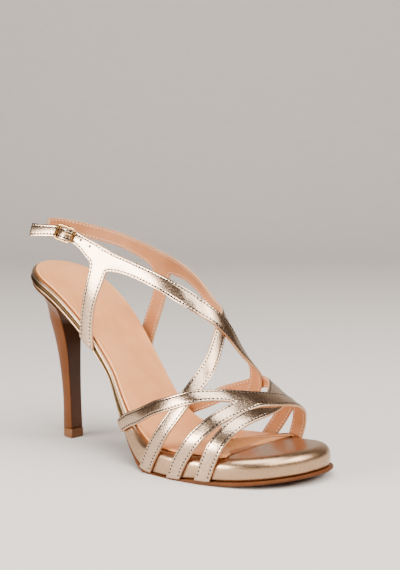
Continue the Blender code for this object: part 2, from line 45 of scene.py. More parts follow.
# Sizes are in millimetres, x from the back of the heel seat to the toe, y to the inner side of the foot.
lastForm = {
    "move": (-102.2981, 0.2393, 0.0),  # from there to the frame of the solids
    "heelRound": 27.0, "toeRound": 200.0, "toePower": 2.1,  # the rounded ends of the outline
    "sideEase": 1.8,  # the foot is narrower than its footbed above its widest level
    "sideGap": 0.15, "underGap": 0.3,  # off the footbed's side and underside
    "topPower": 2.2,  # of the arch over the foot
    "boxWall": (90, 150), "boxFloor": (150, 180),  # girth angles of an upright side and of the underside
    "linePoints": 1021,  # that the seat line is measured with
    # top of the sock along the middle of the foot: x, z
    "seatLine": [
        (0, 107.2), (20, 99.4), (40, 88.3), (60, 72.2), (80, 50.2), (90, 38.1), (100, 27.7),
        (110, 20.6), (120, 16.6), (135, 15.2), (155, 15.8), (175, 16.8), (204, 20.2),
    ],
    # outline of the footbed: distance along, middle y, half width
    "outline": [
        (0, 3.6, 24.6), (27, 3.2, 25.0), (56, 2.5, 24.6), (85, 1.15, 22.3), (100, 0.2, 22.0),
        (115, -2.0, 23.4), (130, -4.2, 25.2), (142, -4.6, 27.8), (153, -4.4, 32.3), (163, -3.4, 34.6),
        (173, -2.1, 36.5), (183, -1.0, 37.3), (195, 0.6, 37.4), (200, 1.2, 36.9), (240, 6.0, 36.0),
    ],
    # below the seat line: distance along, underside of the footbed, underside of the outsole
    "depth": [
        (0, 6.8, 8.8), (60, 6.6, 8.6), (85, 6.1, 7.9), (108, 5.6, 7.4), (128, 8.2, 10.2),
        (150, 13.6, 16.4), (190, 13.6, 16.4), (215, 13.6, 15.9), (260, 13.6, 15.7),
    ],
    # sections: distance along, top x, top z, widest level, ridge, boxiness, under power
    "foot": [
        (232, 196.5, 27, 0.50, 0, 1.0, 2.0),
        (220, 186, 33, 0.50, 0, 1.0, 2.0),
        (203, 170, 42.5, 0.42, 0, 1.0, 2.0),
        (183, 154, 55, 0.36, 1, 1.0, 2.0),
        (163, 145, 69, 0.30, 2, 1.0, 2.0),
        (142, 138.5, 86.5, 0.24, 3, 1.0, 2.0),
        (115.5, 127, 107, 0.22, 3, 1.0, 2.0),
        (84.5, 108.5, 128, 0.24, 3, 1.0, 2.0),
        (57, 93, 147, 0.30, 2, 0.9, 2.0),
        (27, 82, 161, 0.42, 1, 0.3, 1.8),
    ],
    # round the ankle: back x, back z, top x, top z, middle y, half width, widest level, under power
    "ankle": [
        (3, 112, 77, 172, 3, 26.5, 0.56, 1.5),
        (7, 140, 74, 180, 3, 27.0, 0.60, 1.42),
    ],
}


def easeRow(xs, ys, x):
    # a smooth curve through the rows of a table, read at x
    xs = np.asarray(xs, float)
    ys = np.asarray(ys, float)
    x = np.asarray(x, float)
    gap = np.diff(xs).reshape((-1,) + (1,) * (ys.ndim - 1))
    slope = np.diff(ys, axis=0) / gap
    tan = np.empty_like(ys)
    tan[1:-1] = (slope[:-1] * gap[1:] + slope[1:] * gap[:-1]) / (gap[1:] + gap[:-1])
    tan[0] = slope[0]
    tan[-1] = slope[-1]
    i = np.clip(np.searchsorted(xs, x, side="right") - 1, 0, len(xs) - 2)
    h = xs[i + 1] - xs[i]
    t = (x - xs[i]) / h
    if ys.ndim > 1:
        h = h[..., None]
        t = t[..., None]
    start = ys[i] * (1 + 2 * t) * (1 - t) ** 2 + tan[i] * h * t * (1 - t) ** 2
    return start + ys[i + 1] * t * t * (3 - 2 * t) + tan[i + 1] * h * t * t * (t - 1)


def tableAt(table, k, s):
    t = np.asarray(table, float)
    return easeRow(t[:, 0], t[:, k], s)


def ramp(x, start, end):
    return np.clip((x - start) / (end - start), 0, 1)


def between(x, start, end):
    t = ramp(x, start, end)
    return t * t * (3 - 2 * t)


def unit(v):
    return v / np.linalg.norm(v, axis=-1, keepdims=True)


def distances(points):
    return np.concatenate([[0], np.cumsum(np.linalg.norm(np.diff(points, axis=0), axis=1))])


# The seat line, and the frame that bends with it: s along the line, y across, h off it

lineX = np.linspace(0, lastForm["seatLine"][-1][0], lastForm["linePoints"])
lineZ = tableAt(lastForm["seatLine"], 1, lineX)
lineS = np.concatenate([[0], np.cumsum(np.hypot(np.diff(lineX), np.diff(lineZ)))])
footLong = float(lineS[-1])


def bentTo(s, y, h):
    s = np.asarray(s, float)
    c = np.clip(s, 0, footLong)
    tx = np.interp(c, lineS, np.gradient(lineX, lineS))
    tz = np.interp(c, lineS, np.gradient(lineZ, lineS))
    n = np.hypot(tx, tz)
    x = np.interp(c, lineS, lineX) + (s - c) * tx / n
    z = np.interp(c, lineS, lineZ) + (s - c) * tz / n
    return np.stack(np.broadcast_arrays(x - tz / n * h, np.asarray(y, float), z + tx / n * h), -1)


def edgesAt(s):
    s = np.asarray(s, float)
    heel = 1 - ramp(s, 0, lastForm["heelRound"])
    toe = ramp(s, lastForm["toeRound"], footLong)
    power = lastForm["toePower"]
    full = np.sqrt(1 - heel ** 2) * (1 - toe ** power) ** (1 / power)
    mid = tableAt(lastForm["outline"], 1, s)
    half = tableAt(lastForm["outline"], 2, s) * full
    return mid - half, mid + half


def depthOf(layer, extra=0.0):
    # 1 is the underside of the footbed, 2 the underside of the outsole
    return lambda s: -tableAt(lastForm["depth"], layer, np.clip(s, 0, footLong)) + extra


# The foot that the straps lie on

def lastSections():
    rows = []
    for s, tx, tz, wide, ridge, box, under in lastForm["foot"]:
        x, _, z = bentTo(s, 0, depthOf(1)(s) - lastForm["underGap"])
        lo, hi = edgesAt(s)
        rows.append((s, x, z, tx, tz, (lo + hi) / 2, (hi - lo) / 2, wide, ridge, box, under))
    for bx, bz, tx, tz, mid, half, wide, under in lastForm["ankle"]:
        rows.append((lastForm["foot"][-1][0], bx, bz, tx, tz, mid, half, wide, 0, 0, under))
    return np.array(rows, float)


sections = lastSections()


def lastPoint(u, th):
    # u counts the sections from the toe, th goes round in degrees from the instep, outer side negative
    u = np.asarray(u, float)
    r = easeRow(np.arange(len(sections)), sections, u)
    s, bx, bz, tx, tz, mid, half, wide, ridge, box, under = np.moveaxis(r, -1, 0)
    # the sections of the foot keep to the footbed's outline, those round the ankle don't
    lo, hi = edgesAt(s)
    near = np.clip(len(lastForm["foot"]) - u, 0, 1)
    mid = mid + ((lo + hi) / 2 - mid) * near
    half = half + ((hi - lo) / 2 - half) * near + lastForm["sideGap"]
    turn = (np.asarray(th, float) + 180) % 360 - 180
    a = np.abs(turn)
    c = np.cos(np.radians(a))
    half = half - lastForm["sideEase"] * between(3 * c, 0, 1)  # from the widest level up
    power = np.where(c >= 0, lastForm["topPower"], under)
    out = np.abs(np.sin(np.radians(a))) ** (2 / power)
    up = np.abs(c) ** (2 / power)
    wall = 1 - ramp(a, *lastForm["boxWall"])
    floor = 1 - ramp(a, *lastForm["boxFloor"])
    y = np.where(c >= 0, out, out + (floor - out) * box)
    f = np.where(c >= 0, wide + (1 - wide) * up, wide * ((1 - up) * (1 - box) + wall * box))
    side = mid + ridge * np.clip(c, 0, 1) + half * np.sign(turn) * y
    return np.stack([bx + (tx - bx) * f, side, bz + (tz - bz) * f], -1)


def lastAxes(u, th, smallU=0.01, smallTh=0.4):
    # along the foot, round it and off it
    du = (lastPoint(u + smallU, th) - lastPoint(u - smallU, th)) / (2 * smallU)
    dt = (lastPoint(u, th + smallTh) - lastPoint(u, th - smallTh)) / (2 * smallTh)
    return du, dt, unit(np.cross(dt, du))


def offLast(u, th, lift):
    return lastPoint(u, th) + lastAxes(u, th)[2] * lift


def nearestOn(u, th, goal, passes=6, pace=0.8):
    for _ in range(passes):
        du, dt, _ = lastAxes(u, th)
        step = goal - lastPoint(u, th)
        g11 = (du * du).sum(-1)
        g12 = (du * dt).sum(-1)
        g22 = (dt * dt).sum(-1)
        b1 = (du * step).sum(-1)
        b2 = (dt * step).sum(-1)
        det = g11 * g22 - g12 * g12
        u = u + pace * (b1 * g22 - b2 * g12) / det
        th = th + pace * (b2 * g11 - b1 * g12) / det
    return u, th


# Mesh helpers

def inFrame(p):
    return Vector((np.asarray(p, float) + np.array(lastForm["move"])) * mm)


def drawOut(bm, rows, closed=True):
    # a first row of vertices, pulled out edge by edge through the other rows
    count = len(rows[0])
    if closed:
        ring = bmesh.ops.create_circle(bm, segments=count, radius=1.0)["verts"]
    else:
        ring = [bm.verts.new((k, 0, 0)) for k in range(count)]
        for a, b in zip(ring[:-1], ring[1:]):
            bm.edges.new((a, b))
    pairs = list(zip(ring, ring[1:] + ring[:1])) if closed else list(zip(ring[:-1], ring[1:]))
    edges = [bm.edges.get(p) for p in pairs]
    for v, p in zip(ring, rows[0]):
        v.co = inFrame(p)
    return pullRows(bm, ring, edges, rows[1:])


def pullRows(bm, ring, edges, rows):
    rings = [ring]
    for row in rows:
        geom = bmesh.ops.extrude_edge_only(bm, edges=edges)["geom"]
        fresh = {g for g in geom if isinstance(g, bmesh.types.BMVert)}
        nextRing = []
        for v in ring:
            nextRing.append(next(e.other_vert(v) for e in v.link_edges if e.other_vert(v) in fresh))
        edges = [bm.edges.get([nextRing[ring.index(v)] for v in e.verts]) for e in edges]
        for v, p in zip(nextRing, row):
            v.co = inFrame(p)
        ring = nextRing
        rings.append(ring)
    return rings


def capEnds(bm, rings):
    for ring in (rings[0], rings[-1]):
        bmesh.ops.contextual_create(bm, geom=ring)


def meshObject(name, bm, materials, smooth=True):
    bmesh.ops.recalc_face_normals(bm, faces=bm.faces)
    for f in bm.faces:
        f.smooth = smooth
    mesh = bpy.data.meshes.new(name)
    bm.to_mesh(mesh)
    bm.free()
    for m in materials:
        mesh.materials.append(m)
    made = bpy.data.objects.new(name, mesh)
    bpy.context.scene.collection.objects.link(made)
    return made


def makePiece(name, bm, materials, replaces=(), smooth=True):
    bmesh.ops.remove_doubles(bm, verts=bm.verts, dist=weldGap)
    piece = meshObject(name, bm, materials, smooth)
    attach(piece, "root")
    if replaces:
        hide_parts(*replaces)
    return piece


def addModifier(piece, kind, **settings):
    mod = piece.modifiers.new(kind.lower(), kind)
    for key, value in settings.items():
        setattr(mod, key, value)


# Materials

leather = {
    "creaseMm": 9.0, "cloudMm": 9.0,  # soft creases of the foil, cloudy tone of dyed leather
    "poreStrength": 0.7,
}
# rows of stitches: from the edge, half width and depth of the channel they pull in, spacing and length
seam = {
    "inset": 1.2, "half": 0.7, "deep": 0.12, "pitch": 2.2, "long": 1.35,
    "trim": 1.0,  # left bare at the end of a strap
    "topThread": (0.52, 0.18), "liningThread": (0.3, 0.12),  # half width, height
}


def hexColour(code):
    part = [int(code[k:k + 2], 16) / 255 for k in (1, 3, 5)]
    return [c / 12.92 if c <= 0.04045 else ((c + 0.055) / 1.055) ** 2.4 for c in part] + [1.0]


def addNode(tree, kind, settings=None, **inputs):
    node = tree.nodes.new(kind)
    for key, value in (settings or {}).items():
        setattr(node, key, value)
    for key, value in inputs.items():
        # i0 and i1 count the sockets, any other key is a socket's name
        counted = key[0] == "i" and key[1:].isdigit()
        socket = node.inputs[int(key[1:]) if counted else key.replace("_", " ")]
        if isinstance(value, bpy.types.NodeSocket):
            tree.links.new(value, socket)
        else:
            socket.default_value = value
    return node


def newMaterial(name, colour, metallic, roughness, **more):
    mat = bpy.data.materials.new(name)
    mat.use_nodes = True
    tree = mat.node_tree
    shader = tree.nodes["Principled BSDF"]
    shader.inputs["Base Color"].default_value = hexColour(colour)
    shader.inputs["Metallic"].default_value = metallic
    shader.inputs["Roughness"].default_value = roughness
    for key, value in more.items():
        shader.inputs[key.replace("_", " ")].default_value = value
    place = addNode(tree, "ShaderNodeTexCoord").outputs["Object"]
    return mat, tree, shader, place


def perMetre(millimetres):
    return 1000.0 / millimetres


def shadeBetween(tree, shader, factor, colours, rough=None, low=0.3, high=0.7):
    # the pattern moves the colour between two tones, and the gloss with it
    tones = addNode(tree, "ShaderNodeValToRGB", Fac=factor)
    for element, position, colour in zip(tones.color_ramp.elements, (low, high), colours):
        element.position = position
        element.color = hexColour(colour)
    tree.links.new(tones.outputs["Color"], shader.inputs["Base Color"])
    if rough:
        spread = addNode(tree, "ShaderNodeMapRange", Value=factor, From_Min=low, From_Max=high,
                         To_Min=rough[0], To_Max=rough[1])
        tree.links.new(spread.outputs["Result"], shader.inputs["Roughness"])


def foilLeather(name, grainMm, grainDepth, creaseDepth, rough, colours, stitched=False):
    # kid leather laminated with a metal foil: mirror-like in the flats, broken up by the grain under it
    mat, tree, shader, place = newMaterial(name, colours[1], 1.0, rough[0])
    # real kid grain is about 0.4 mm, drawn coarser so that it shows
    grain = addNode(tree, "ShaderNodeTexNoise", Vector=place, Scale=perMetre(grainMm), Detail=3.0,
                    Roughness=0.5)
    crease = addNode(tree, "ShaderNodeTexNoise", Vector=place, Scale=perMetre(leather["creaseMm"]),
                     Detail=2.0, Roughness=0.45)
    shadeBetween(tree, shader, grain.outputs["Fac"], colours, rough)
    bump = addNode(tree, "ShaderNodeBump", Strength=1.0, Distance=creaseDepth * mm,
                   Height=crease.outputs["Fac"])
    bump = addNode(tree, "ShaderNodeBump", Strength=1.0, Distance=grainDepth * mm,
                   Height=grain.outputs["Fac"], Normal=bump.outputs["Normal"])
    if stitched:
        # the seam pulls a narrow channel into the leather, a stitch row's distance from the edge
        edge = addNode(tree, "ShaderNodeAttribute", {"attribute_name": "fromEdge"})
        off = addNode(tree, "ShaderNodeMath", {"operation": "SUBTRACT"}, i0=edge.outputs["Fac"],
                      i1=seam["inset"])
        off = addNode(tree, "ShaderNodeMath", {"operation": "ABSOLUTE"}, i0=off.outputs["Value"])
        rise = addNode(tree, "ShaderNodeMapRange", {"interpolation_type": "SMOOTHSTEP"},
                       Value=off.outputs["Value"], From_Min=0.0, From_Max=seam["half"])
        bump = addNode(tree, "ShaderNodeBump", Strength=1.0, Distance=seam["deep"] * mm,
                       Height=rise.outputs["Result"], Normal=bump.outputs["Normal"])
    tree.links.new(bump.outputs["Normal"], shader.inputs["Normal"])
    return mat


def softLeather(name, poreMm, poreDepth, rough, colours, sheen=0.3):
    # smooth dyed leather: an even colour with small pores and a slight sheen
    mat, tree, shader, place = newMaterial(name, colours[1], 0.0, rough[1], Specular_IOR_Level=sheen)
    cloud = addNode(tree, "ShaderNodeTexNoise", Vector=place, Scale=perMetre(leather["cloudMm"]), Detail=4.0,
                    Roughness=0.6)
    shadeBetween(tree, shader, cloud.outputs["Fac"], colours, rough)
    pores = addNode(tree, "ShaderNodeTexVoronoi", Vector=place, Scale=perMetre(poreMm))
    bump = addNode(tree, "ShaderNodeBump", Strength=leather["poreStrength"], Distance=poreDepth * mm,
                   Height=pores.outputs["Distance"])
    tree.links.new(bump.outputs["Normal"], shader.inputs["Normal"])
    return mat


def platedMetal(name, wearMm, rough, colours):
    # polished and gold plated, a little duller where it is worn
    mat, tree, shader, place = newMaterial(name, colours[1], 1.0, rough[0])
    wear = addNode(tree, "ShaderNodeTexNoise", Vector=place, Scale=perMetre(wearMm), Detail=3.0)
    shadeBetween(tree, shader, wear.outputs["Fac"], colours, rough)
    return mat


finish = {
    "strapFoil": foilLeather("foilKidStrap", 1.0, 0.075, 0.14, (0.2, 0.27), ("#b69a80", "#c9b097"), True),
    "wrapFoil": foilLeather("foilKidWrap", 0.8, 0.026, 0.1, (0.27, 0.34), ("#ab8a6a", "#bd9f80")),
    # the darker foil on the channel's floor is painted shade
    "channel": foilLeather("foilKidChannelPaintedShade", 0.8, 0.026, 0.1, (0.4, 0.5), ("#3f2f1d", "#4c3a27")),
    "lining": softLeather("liningKid", 1.0, 0.03, (0.45, 0.6), ("#b3774b", "#bf8458"), 0.15),
    "edge": softLeather("cutEdgePaint", 0.8, 0.02, (0.4, 0.5), ("#b98a62", "#c79a74")),
    "sock": softLeather("sockNappa", 1.1, 0.02, (0.36, 0.46), ("#e59a5e", "#eda66c")),
    "heel": softLeather("glazedHeelCover", 1.4, 0.004, (0.34, 0.42), ("#532d11", "#603618"), 0.12),
    # the darker cover on the breast, which faces forward under the shank, is painted shade
    "breast": softLeather("paintedShadeHeelBreast", 1.4, 0.004, (0.3, 0.34), ("#43220c", "#4e2c13"), 0.22),
    "sole": softLeather("burnishedSole", 0.9, 0.03, (0.42, 0.5), ("#4f2b11", "#5c3419"), 0.12),
    "tip": softLeather("toplineRubber", 0.9, 0.03, (0.4, 0.5), ("#5f3a1c", "#6c4526")),
    # near-black plugs stand in for the shade inside the punched holes
    "hole": softLeather("punchedHolePaintedShade", 0.5, 0.02, (0.7, 0.8), ("#0f0906", "#18100b")),
    "thread": softLeather("bondedThread", 0.5, 0.02, (0.6, 0.7), ("#140e0a", "#1d1510")),
    "palethread": softLeather("bobbinThread", 0.5, 0.02, (0.6, 0.7), ("#e6d3bd", "#f0e2d0")),
    "buckle": platedMetal("platedBuckle", 1.5, (0.14, 0.22), ("#c49c60", "#d8b57c")),
}
print("materials:", len(finish))


# Layers of the bottom

soleForm = {
    "points": 180, "evenShare": 0.35,  # round an outline, and how evenly they are spaced
    "inward": (0.12, 0.28, 0.46, 0.64, 0.82, 1.0),  # rings from the edge to the middle line
    "spine": (16.0, 22.0),  # the middle line stops this far from the back and the front
    "gap": 0.3, "footbedCrown": 0.4, "wrapSteps": 9,  # below the sock, rise inwards, rings of the top edge
    "topEdge": [(0, 1.6), (110, 1.6), (150, 3.0), (195, 5.0), (260, 6.0)],  # distance along, radius
    # side of the footbed: share of its height, inset, share of the channel's depth
    "wall": [
        (0.0, 0.6, 0.0), (0.04, 0.2, 0.0), (0.14, 0.0, 0.0), (0.26, 0.0, 0.25), (0.38, 0.0, 0.8),
        (0.55, 0.0, 1.0), (0.72, 0.0, 1.0), (0.86, 0.0, 0.75),
    ],
    # depth of the channel, where it fades out, and where the painted shade on its floor ends
    "channel": 0.9, "channelFades": (110, 140), "paintedShadeEnds": 132,
    "tuck": 1.0, "tuckGrows": (150, 215),
    "lipRear": -1.8, "lipFront": 1.0, "lipGrows": (130, 165),  # how far the outsole stands out
    # edge of the outsole: inset from the lip, layer that it follows, height off that layer
    "soleEdge": [
        (0.9, 2, 0.0), (0.5, 2, 0.06), (0.15, 2, 0.3), (0.0, 2, 0.8),
        (0.0, 1, -1.0), (0.1, 1, -0.55), (0.4, 1, -0.32),
    ],
    "sockThick": 1.2, "sockCrown": 0.8, "sockFront": (207.0, 200.5), "sockThins": (172, 194),
    # inset of the sock: distance along, outer side, inner side
    "sockInset": [(0, 2.2, 2.2), (120, 2.2, 2.2), (170, 4.0, 3.4), (200, 4.2, 2.8), (260, 4.6, 2.8)],
    # a rolled border, a thin groove and the padded middle: inset, height, height where it is pared thin
    "sockRoll": [
        (0.5, -1.2, -1.2), (0.1, -1.0, -1.1), (0.0, -0.65, -0.95), (0.12, -0.35, -0.82), (0.45, -0.08, -0.76),
        (0.95, 0.06, -0.7), (1.6, 0.08, -0.62), (2.1, -0.02, -0.56), (2.5, -0.12, -0.5), (2.9, -0.02, -0.45),
        (3.5, 0.1, -0.38), (4.5, 0.2, -0.26),
    ],
}
whole = (footLong, footLong)


def outlineLoop(ends, inset):
    half = soleForm["points"] // 2
    even = soleForm["evenShare"]
    t = np.linspace(0, 1, half + 1)
    t = even * t + (1 - even) * 0.5 * (1 - np.cos(np.pi * t))
    so, si = t * ends[0], t * ends[1]
    loop = np.concatenate([np.stack([so, edgesAt(so)[0]], -1), np.stack([si, edgesAt(si)[1]], -1)[::-1]])
    if ends[0] >= footLong:
        loop = np.delete(loop, len(so), axis=0)
    loop = loop[:-1]
    tan = unit(np.roll(loop, -1, axis=0) - np.roll(loop, 1, axis=0))
    out = np.stack([tan[:, 1], -tan[:, 0]], -1)
    amount = inset(loop[:, 0]) if callable(inset) else inset
    return loop - out * np.broadcast_to(amount, len(loop))[:, None]


def bentRing(s, y, h, floor):
    p = bentTo(s, y, h)
    if floor is not None:
        p[:, 2] = np.maximum(p[:, 2], floor)
    return p


def closeOver(ends, inset, height, crown, steps, floor=None):
    # rings drawn in from the edge to the middle line, where both sides meet
    loop = outlineLoop(ends, inset)
    back, front = soleForm["spine"]
    s = np.clip(loop[:, 0], back, min(ends) - front)
    lo, hi = edgesAt(s)
    rings = []
    for t in steps:
        at = loop[:, 0] + (s - loop[:, 0]) * t
        y = loop[:, 1] + ((lo + hi) / 2 - loop[:, 1]) * t
        rings.append(bentRing(at, y, height(at) + crown * (1 - (1 - t) ** 2), floor))
    return rings


def closedRings(ends, levels, crown=0.0, under=None, floor=None):
    # from the middle of the underside, round the edge, to the middle of the top
    rings = closeOver(ends, *(under or levels[0]), 0.0, soleForm["inward"][::-1], floor)
    for inset, height in levels:
        loop = outlineLoop(ends, inset)
        rings.append(bentRing(loop[:, 0], loop[:, 1], height(loop[:, 0]), floor))
    return rings + closeOver(ends, *levels[-1], crown, soleForm["inward"])


def topRadius(s):
    return tableAt(soleForm["topEdge"], 1, np.clip(s, 0, footLong))


def wrapInset(turn):
    return lambda s: topRadius(s) * (1 - math.cos(turn))


def wrapHeight(turn):
    top = -soleForm["sockThick"] - soleForm["gap"]
    return lambda s: top - topRadius(s) * (1 - math.sin(turn))


def wallInset(base, part, up):
    # two beads with a channel along the waist and heel seat, one round side that tucks in at the forefoot
    def at(s):
        channel = soleForm["channel"] * (1 - between(s, *soleForm["channelFades"]))
        tuck = soleForm["tuck"] * (1 - math.sin(math.pi / 2 * up)) * between(s, *soleForm["tuckGrows"])
        return base + part * channel + tuck
    return at


def wallHeight(part):
    def at(s):
        low = depthOf(1)(s)
        return low + (wrapHeight(0.0)(s) - low) * part
    return at


def lip(extra):
    def at(s):
        grown = soleForm["lipFront"] - soleForm["lipRear"]
        return extra - (soleForm["lipRear"] + grown * between(s, *soleForm["lipGrows"]))
    return at


def makeFootbed():
    wall = soleForm["wall"]
    levels = [(wallInset(base, part, up), wallHeight(up)) for up, base, part in wall]
    for turn in np.radians(np.linspace(0, 90, soleForm["wrapSteps"])):
        levels.append((wrapInset(turn), wrapHeight(turn)))
    bm = bmesh.new()
    under = (wall[0][1], depthOf(1))
    made = drawOut(bm, closedRings(whole, levels, soleForm["footbedCrown"], under))
    # the floor of the channel from the heel seat to the waist takes a darker foil: painted shade
    along = outlineLoop(whole, 0.0)[:, 0]
    first = len(soleForm["inward"])
    deep = [ring for ring, row in zip(made[first:], wall) if row[2] > 0]
    for a, b in zip(deep[:-1], deep[1:]):
        for k in range(len(a)):
            j = (k + 1) % len(a)
            if max(along[k], along[j]) < soleForm["paintedShadeEnds"]:
                next(f for f in a[k].link_faces if b[j] in f.verts and a[j] in f.verts).material_index = 1
    makePiece("wrapped_footbed", bm, [finish["wrapFoil"], finish["channel"]], ["footbed"])


def makeOutsole():
    levels = [(lip(extra), depthOf(layer, rise)) for extra, layer, rise in soleForm["soleEdge"]]
    bm = bmesh.new()
    drawOut(bm, closedRings(whole, levels, floor=0.0))
    makePiece("leather_outsole", bm, [finish["sole"]], ["outsole"])


def makeSock():
    def edge(extra):
        def at(s):
            # the outline runs forward along the outer edge and back along the inner one
            inner = np.arange(len(s)) > np.argmax(s)
            outerInset, innerInset = [tableAt(soleForm["sockInset"], k, s) for k in (1, 2)]
            return np.where(inner, innerInset, outerInset) + extra
        return at

    def rise(rolled, pared):
        return lambda s: rolled + (pared - rolled) * between(s, *soleForm["sockThins"])

    levels = [(edge(extra), rise(rolled, pared)) for extra, rolled, pared in soleForm["sockRoll"]]
    bm = bmesh.new()
    drawOut(bm, closedRings(soleForm["sockFront"], levels, soleForm["sockCrown"]))
    sock = makePiece("padded_sock", bm, [finish["sock"]], ["sock"])


makeFootbed()
makeOutsole()
makeSock()
print("bottom: footbed, outsole and sock")


# Heel and its tip

heelForm = {
    # points round the back and across the breast, rings up the stem and through its flare
    "round": 41, "across": 9, "stemSteps": 24, "flareSteps": 22,
    # z, breast x, half width, depth, middle y
    "stem": [
        (0, 28.2, 4.8, 10.7, 1.5), (30, 27.0, 4.9, 10.1, 1.5),
        (60, 25.2, 6.7, 14.2, 1.8), (72, 23.2, 8.8, 16.2, 2.2),
    ],
    "breast": 42.0,  # distance along the seat where the front of the heel meets the sole
    "rimCentre": (25.2, 3.2), "rimInset": 1.6, "rimDrop": -0.3,  # top of the heel, under the outsole
    "flare": 0.22, "flareDrop": 6.5,  # how the stem turns out into the rim
    "bevel": 0.6, "paintedShadeFacing": 0.75,  # edges of the breast, and how far forward a face points at least to take the breast's painted shade
    "tipHigh": 5.6, "tipGap": 0.3,
    # edge of the tip: height from its foot, inset
    "tipEdge": [(0.0, 0.5), (0.15, 0.15), (0.5, 0.0), (5.3, 0.0), (5.6, 0.3)],
}


def stemRing(z):
    xb, half, deep, mid = [tableAt(heelForm["stem"], k, z) for k in (1, 2, 3, 4)]
    a = np.radians(np.linspace(-90, 90, heelForm["round"]))
    back = np.stack([xb - deep * np.cos(a), mid + half * np.sin(a), np.full(len(a), z)], -1)
    t = np.linspace(0, 1, heelForm["across"] + 2)[1:-1]
    front = np.stack([np.full(len(t), xb), mid + half * (1 - 2 * t), np.full(len(t), z)], -1)
    return np.concatenate([back, front])


def rimRing():
    half = heelForm["round"] // 2
    s = heelForm["breast"] * (1 - np.cos(np.pi / 2 * np.linspace(0, 1, half + 1)))
    lo, hi = edgesAt(s)
    loop = np.concatenate([np.stack([s, lo], -1)[::-1], np.stack([s, hi], -1)[1:]])
    loop = loop - unit(loop - np.array(heelForm["rimCentre"])) * heelForm["rimInset"]
    t = np.linspace(0, 1, heelForm["across"] + 2)[1:-1, None]
    loop = np.concatenate([loop, loop[-1] + (loop[0] - loop[-1]) * t])
    return bentTo(loop[:, 0], loop[:, 1], depthOf(2, heelForm["rimDrop"])(loop[:, 0]))


def makeHeel():
    top = heelForm["stem"][-1][0]
    foot = heelForm["tipHigh"] + heelForm["tipGap"]
    rings = [stemRing(z) for z in np.linspace(foot, top, heelForm["stemSteps"])]
    low = stemRing(top)
    rim = rimRing()
    turn = low + (rim - low) * heelForm["flare"]
    turn[:, 2] = rim[:, 2] - heelForm["flareDrop"]
    for t in np.linspace(0, 1, heelForm["flareSteps"])[1:]:
        rings.append(low * (1 - t) ** 2 + turn * 2 * t * (1 - t) + rim * t * t)
    bm = bmesh.new()
    made = drawOut(bm, rings)
    capEnds(bm, made)
    corner = []
    for a, b in zip(made[:-1], made[1:]):
        for k in (0, heelForm["round"] - 1):
            corner.append(bm.edges.get((a[k], b[k])))
    bmesh.ops.bevel(bm, geom=corner, offset=heelForm["bevel"] * mm, affect="EDGES", segments=3, profile=0.5,
                    material=-1)
    bmesh.ops.recalc_face_normals(bm, faces=bm.faces)
    for f in bm.faces:
        # faces that point forward take the breast's darker colour, painted shade
        f.material_index = int(f.normal.x > heelForm["paintedShadeFacing"])
    makePiece("covered_heel", bm, [finish["heel"], finish["breast"]], ["heel"])


def makeTip():
    flat = stemRing(0) * (1, 1, 0)
    out = unit(flat - flat.mean(0))
    bm = bmesh.new()
    capEnds(bm, drawOut(bm, [flat - out * pull + (0, 0, z) for z, pull in heelForm["tipEdge"]]))
    makePiece("heel_top_piece", bm, [finish["tip"]], ["heel_tip"])


makeHeel()
makeTip()
print("heel: cover and tip")


# Straps

strapCut = {
    "wall": 1.6, "crown": 0.25, "bevel": 0.3, "bevelFrom": 50,  # thickness, rise to the middle, edge, degrees
    "step": 4.0, "fewest": 8,  # between rows of vertices, and least number of rows
    "ease": 10, "easeStep": 3.2,  # rounds of smoothing, counted for rows this far apart
    "endShift": 3.0,  # most that an end is moved to meet the sole
    "hubRows": 9, "hubClear": 0.6,  # rows searched for a fork's corners, share of a step kept from them
    "hubWide": 6.0, "cornerLift": 0.5, "cornerPush": 0.5,  # a fork's middle from its edge, and its corners
}
# rows: section, girth angle, width, lift off the foot, how much further one edge stands off than the middle
outerQuarter = {
    "leg": [
        (7.95, -75, 12, 0.3), (7.87, -81, 10.4, 0.3), (7.82, -85, 9.8, 0.3), (7.74, -90.5, 9, 0.3),
        (7.63, -109.5, 8.8, 0.3), (7.46, -131, 8.8, 0.3), (7.28, -149, 10, 0.3),
    ],
    "frontArm": [
        (8.0, -74, 12.8, 0.55), (7.6, -65.2, 9.8, 0.45), (7.17, -57.9, 8.4, 0.45),
        (6.71, -49.6, 8.2, 0.45), (5.99, -34.8, 8.6, 0.6), (4.87, -6, 8.5, 1.5), (4.4, 13, 8.2, 1.5),
        (3.8, 20, 8, 0.8), (3.5, 38, 8, 0.3), (3.55, 56, 8, 0.3), (3.85, 73, 8, 0.3),
        (4.1, 86, 8, 0.3), (4.3, 110, 8, 0.3), (4.36, 149, 8, 0.3),
    ],
    "rearArm": [
        (8.0, -74, 12.8, 0.55), (8.25, -75, 12.4, 0.6), (8.55, -78, 8.8, 0.5),
        (8.83, -81.6, 7.0, 0.4, 0.4), (8.95, -83.4, 6.3, 0.6, 0.8), (9.05, -85.2, 6.0, 0.7, 1.0),
        (9.25, -89.1, 5.9, 3.8, 1.2), (9.45, -98.1, 5.9, 2.4, 1.2), (9.61, -107, 6.1, 4.4, 1.2),
        (9.75, -114.5, 6.2, 6.8, 1.2), (9.9, -123.3, 6.2, 10.4, 1.2),
    ],
    "corners": [(8.11, -67.8), (8.21, -80.7), (7.70, -74.6)],
}
